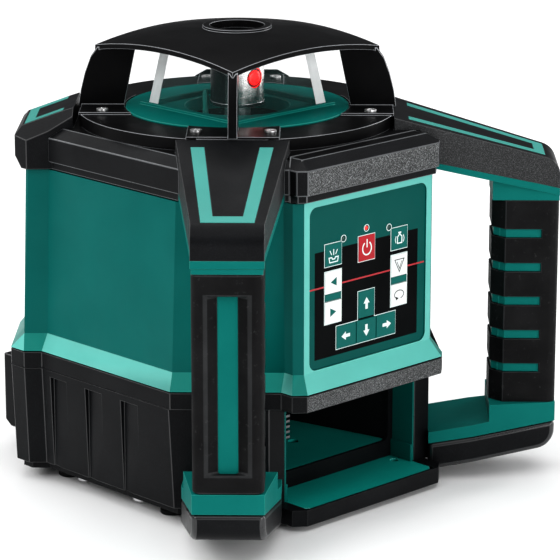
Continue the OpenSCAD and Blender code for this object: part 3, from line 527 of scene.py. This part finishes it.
FLANGE = 0.6
GAP = 0.2
KEY_NAMES = sorted(n for n in NODES if n.startswith("key_"))
FILM_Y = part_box("keypad_overlay")[0].y / MM
KEY_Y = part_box("key_up")[0].y / MM
# each printed layer: how far it stands out of its surface, and its thickness (mm)
FIELD_LAYER = (0.04, 0.05)
BAR_LAYER = (0.05, 0.08)
LINE_LAYER = (0.09, 0.1)
RED_LAYER = (0.08, 0.09)
MARK_LAYER = (0.05, 0.07)


def face_box(name):
    """The part of a key that shows: its box without the flange behind the film."""
    lo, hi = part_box(name)
    low = 0 if name == "key_up" else FLANGE
    high = 0 if name in ("key_left", "key_down", "key_right") else FLANGE
    return lo.x / MM, lo.z / MM + low, hi.x / MM, hi.z / MM - high


def opening(name):
    """A key's face with the gap round it."""
    x0, z0, x1, z1 = face_box(name)
    return x0 - GAP, z0 - GAP, x1 + GAP, z1 + GAP


def grid_with_holes(x0, z0, x1, z1, holes):
    """Cells that fill the box except the holes, cut along the holes' edges."""
    holes = [[round(v, 2) for v in h] for h in holes]
    xs = sorted({x0, x1, *[v for h in holes for v in (h[0], h[2]) if x0 < v < x1]})
    zs = sorted({z0, z1, *[v for h in holes for v in (h[1], h[3]) if z0 < v < z1]})
    cells = []
    for a, b in zip(xs, xs[1:]):
        for c, d in zip(zs, zs[1:]):
            mx, mz = (a + b) / 2, (c + d) / 2
            if not any(h[0] < mx < h[2] and h[1] < mz < h[3] for h in holes):
                cells.append((a, c, b, d))
    return cells


def flat_sheet(name, cells, surface_y, layer, material, body):
    """A thin sheet made of grid cells, closed all round, with no walls inside."""
    stands_out, thickness = layer
    front = surface_y - stands_out
    back = front + thickness
    bm = bmesh.new()
    made = {}

    def spot(x, z):
        return round(x, 4), round(z, 4)

    def vert(x, z, y):
        k = (*spot(x, z), y)
        if k not in made:
            made[k] = bm.verts.new((x * MM, y * MM, z * MM))
        return made[k]

    sides = {}
    for cell in cells:
        corners = rect(*cell)
        bm.faces.new([vert(x, z, front) for x, z in corners])
        bm.faces.new([vert(x, z, back) for x, z in corners[::-1]])
        for a, b in zip(corners, corners[1:] + corners[:1]):
            sides.setdefault(tuple(sorted((spot(*a), spot(*b)))), []).append((a, b))
    for found in sides.values():
        if len(found) == 1:
            a, b = found[0]
            bm.faces.new((vert(*b, front), vert(*a, front), vert(*a, back), vert(*b, back)))
    bmesh.ops.recalc_face_normals(bm, faces=bm.faces)
    add_piece(name, bm, material, body)


HOLE = {name: opening(name) for name in KEY_NAMES}
left, right, up = HOLE["key_left"], HOLE["key_right"], HOLE["key_up"]
cluster = (left[0], left[1], right[2], left[3])
pairs = []
bars = []
for lower, upper in (("key_scan_right", "key_scan_left"), ("key_speed", "key_scan_angle")):
    a, b = HOLE[lower], HOLE[upper]
    pairs.append((a[0], a[1], b[2], b[3]))
    bars.append(rect(a[0] + 0.5, a[3] + 0.1, b[2] - 0.5, b[1] - 0.1))

FIELD = (-32.5, 74.6, 31.4, 122.4)
flat_sheet("keypad_black_field", grid_with_holes(*FIELD, [*HOLE.values(), cluster, *pairs]),
           FILM_Y, FIELD_LAYER, "film_black", "body")
# green bars between the two keys of each pair
solid("keypad_pair_bars", bars, FILM_Y, BAR_LAYER, "teal_satin", "body")

LINE = 0.3
outlines = []
for box in (*pairs, HOLE["key_lamp"], HOLE["key_power"], HOLE["key_shock"]):
    outlines += ribbon(rect(*box), LINE, True)
# round the four arrow keys, and up round the top one
x0, z0, x1, z1 = cluster
outlines += ribbon([(x0, z0), (x1, z0), (x1, z1), (up[2], z1), (up[2], up[3]), (up[0], up[3]),
                    (up[0], z1), (x0, z1)], LINE, True)
LAMP_X, LAMP_SPREAD = -1, 14.1
LAMP_Z, MIDDLE_LAMP_Z = 126, 128.2
LAMP_R, LAMP_LINE = 1.5, 0.28
for x, z in ((LAMP_X - LAMP_SPREAD, LAMP_Z), (LAMP_X, MIDDLE_LAMP_Z), (LAMP_X + LAMP_SPREAD, LAMP_Z)):
    outlines += ring_line(x, z, LAMP_R, LAMP_R, LAMP_LINE)
solid("keypad_outlines", outlines, FILM_Y, LINE_LAYER, "print", "body")

RED_Z, RED_HEIGHT, RED_END, RED_GAP = 106.1, 0.7, 35.6, 0.3
spans = [(-RED_END, pairs[0][0] - RED_GAP), (pairs[0][2] + RED_GAP, pairs[1][0] - RED_GAP),
         (pairs[1][2] + RED_GAP, RED_END)]
solid("keypad_red_line", [rect(a, RED_Z, b, RED_Z + RED_HEIGHT) for a, b in spans], FILM_Y,
      RED_LAYER, "red_print", "body")


def on_key(key, outlines, material):
    """A mark in the middle of a key's face, which moves with the key."""
    x0, z0, x1, z1 = face_box(key)
    cx, cz = (x0 + x1) / 2, (z0 + z1) / 2
    placed = [[(x + cx, z + cz) for x, z in pts] for pts in outlines]
    solid("mark_" + key, placed, KEY_Y, MARK_LAYER, material, key)


ARROW = [(-0.75, -2.6), (0.75, -2.6), (0.75, 0), (1.9, 0), (0, 2.7), (-1.9, 0), (-0.75, 0)]
TRIANGLE = [(-1.7, 0), (1.9, -1.9), (1.9, 1.9)]
on_key("key_up", [shift(ARROW, 0, 0.2)], "print")
on_key("key_left", [shift(ARROW, -0.4, 0, 1)], "print")
on_key("key_down", [shift(ARROW, 0, 0, 2)], "print")
on_key("key_right", [shift(ARROW, 0.4, 0, 3)], "print")
on_key("key_scan_left", [TRIANGLE], "teal_satin")
on_key("key_scan_right", [shift(TRIANGLE, 0, 0, 2)], "teal_satin")
on_key("key_scan_angle",
       ribbon([(-2.9, 2.6), (2.9, 2.6), (0, -3.1)], 0.34, True)
       + ribbon([(-1.5, 1.7), (0, -1.6), (1.5, 1.7)], 0.28), "film_black")
on_key("key_speed",
       ring_line(0, 0, 2.9, 1.9, 0.36, -70, 235)
       + [[(-1.9, -2.5), (-0.3, -1.75), (-1.9, -0.8)]], "film_black")
on_key("key_power",
       ring_line(0, -0.2, 2.7, 2.9, 0.62, 122, 418)
       + [rect(-0.3, 0.2, 0.3, 3.9)], "print")
on_key("key_lamp",
       ribbon([(-2.4, -3.3), (2.4, -3.3), (2.8, -1.2), (1.1, -1.2), (0.7, -2.0), (-0.7, -2.0),
               (-1.1, -1.2), (-2.8, -1.2)], 0.5, True)
       + ribbon([(0, -0.2), (0, 2.4)], 0.5) + ribbon([(-1.2, 0), (-2.3, 2.0)], 0.45)
       + ribbon([(1.2, 0), (2.3, 2.0)], 0.45), "print")
on_key("key_shock",
       ribbon([(-1.4, -2.2), (1.4, -2.2), (1.4, 0.6), (0, 2.0), (-1.4, 0.6)], 0.55, True)
       + [rect(-0.9, 2.2, 0.9, 2.9)]
       + ribbon([(-2.3, 1.2), (-2.8, -0.4), (-2.3, -2.0)], 0.36)
       + ribbon([(2.3, 1.2), (2.8, -0.4), (2.3, -2.0)], 0.36), "print")


# ---- small turned pieces ------------------------------------------------------
TURN_STEPS = 40


def turned(name, profile, centre, material, body, lay=None):
    """A round piece from a profile of (radius, height) in mm, standing at centre."""
    bm = bmesh.new()
    rings = []
    for r, z in profile:
        angles = [2 * math.pi * i / TURN_STEPS for i in range(TURN_STEPS if r else 1)]
        rings.append([bm.verts.new((r * MM * math.cos(a), r * MM * math.sin(a), z * MM))
                      for a in angles])
    for a, b in zip(rings, rings[1:]):
        for i in range(TURN_STEPS):
            j = (i + 1) % TURN_STEPS
            if len(a) == 1:
                bm.faces.new((a[0], b[i], b[j]))
            elif len(b) == 1:
                bm.faces.new((a[i], a[j], b[0]))
            else:
                bm.faces.new((a[i], a[j], b[j], b[i]))
    turn = lay or Matrix.Identity(4)
    bmesh.ops.transform(bm, matrix=Matrix.Translation(Vector(centre) * MM) @ turn, verts=bm.verts)
    bmesh.ops.recalc_face_normals(bm, faces=bm.faces)
    mesh = add_piece(name, bm, material, body).data
    for poly in mesh.polygons:
        poly.use_smooth = True
    mesh.set_sharp_from_angle(angle=math.radians(35))


face_out = Matrix.Rotation(math.pi / 2, 4, "X")
turned("beam_spot", [(0, 0), (3.3, 0), (3.3, 0.3), (2.9, 0.6), (1.6, 0.8), (0, 0.85)],
       (0, -11.05, 184), "laser", "rotor", lay=face_out)
turned("roof_collar", [(12.3, 5.2), (12.3, 0), (15.2, 0), (15.2, 5.2)], (0, 0, 200.95), "black",
       "body")
turned("index_post", [(0, 0), (1.3, 0), (1.3, 27), (1.0, 28.2), (0.7, 29), (0, 29.2)],
       (-10.1, 10.1, 148.1), "teal_mid", "carrier")

# ---- floor, light, camera -----------------------------------------------------
FLOOR_RINGS = (0.4, 1.2, 3, 7)
FLOOR_STEPS = 48


def floor():
    """A pale, flat, round floor."""
    bm = bmesh.new()
    angles = [2 * math.pi / FLOOR_STEPS * i for i in range(FLOOR_STEPS)]
    rings = [[bm.verts.new((r * math.cos(a), r * math.sin(a), 0)) for a in angles]
             for r in FLOOR_RINGS]
    bm.faces.new(rings[0])
    for inner, outer in zip(rings, rings[1:]):
        for i in range(FLOOR_STEPS):
            j = (i + 1) % FLOOR_STEPS
            bm.faces.new((inner[i], outer[i], outer[j], inner[j]))
    t = Tree("floor_paper")
    t.link(t.mix(t.remap(t.noise(6, 3), 0.3, 0.7, 0, 1), (0.9, 0.9, 0.9, 1),
                 (0.93, 0.93, 0.93, 1)), t.bsdf.inputs["Base Color"])
    t.bsdf.inputs["Roughness"].default_value = 0.7
    t.bsdf.inputs["Specular IOR Level"].default_value = 0.2
    o = mesh_object("floor", bm, t.mat)


def surroundings():
    """Faint even light from all round, and a very wide sun as a soft sky."""
    world = bpy.data.worlds.new("studio")
    bpy.context.scene.world = world
    world.use_nodes = True
    background = world.node_tree.nodes["Background"]
    background.inputs[0].default_value = (0.95, 0.97, 1.0, 1)
    background.inputs[1].default_value = 0.13
    sun = bpy.data.lights.new("sky", "SUN")
    sun.energy = 2.5
    sun.angle = math.radians(100)
    sky = new_object("sky", sun)
    sky.rotation_euler = (math.radians(-8), math.radians(-10), 0)


def area(name, place, target, size, power):
    data = bpy.data.lights.new(name, "AREA")
    data.shape = "RECTANGLE"
    data.size, data.size_y = size
    data.energy = power
    o = new_object(name, data)
    o.location = place
    o.rotation_euler = (Vector(target) - Vector(place)).to_track_quat("-Z", "Y").to_euler()


floor()
surroundings()
# name, place, aim, width and height (m), power (W)
LIGHTS = (("low_front", (-0.25, -1.3, 0.3), (0, -0.05, 0.04), (0.35, 0.25), 3.2),
          ("key", (-1.25, -0.1, 0.75), (0, 0, 0.1), (0.5, 0.8), 5.5),
          ("front", (0.3, -1.5, 0.6), (0, 0, 0.1), (0.5, 0.6), 5.5),
          ("rim_right", (1.3, -0.3, 0.5), (0, 0, 0.12), (0.35, 1.1), 8),
          ("rim_back", (-0.5, 1.3, 0.9), (0, 0, 0.12), (1.0, 0.5), 4))
for light in LIGHTS:
    area(*light)

# the camera that was fitted to the photograph: place (m), angles (degrees), lens (mm)
CAMERA_AT = (-0.8821, -0.9384, 0.4391)
CAMERA_TILT, CAMERA_TURN = 74.77, -44.08
SENSOR, LENS = 36, 187.95
cam_data = bpy.data.cameras.new("camera")
cam = new_object("camera", cam_data)
cam.location = CAMERA_AT
cam.rotation_euler = (math.radians(CAMERA_TILT), 0, math.radians(CAMERA_TURN))
cam_data.sensor_width = SENSOR
cam_data.lens = LENS
cam_data.clip_start = 0.05
bpy.context.scene.camera = cam
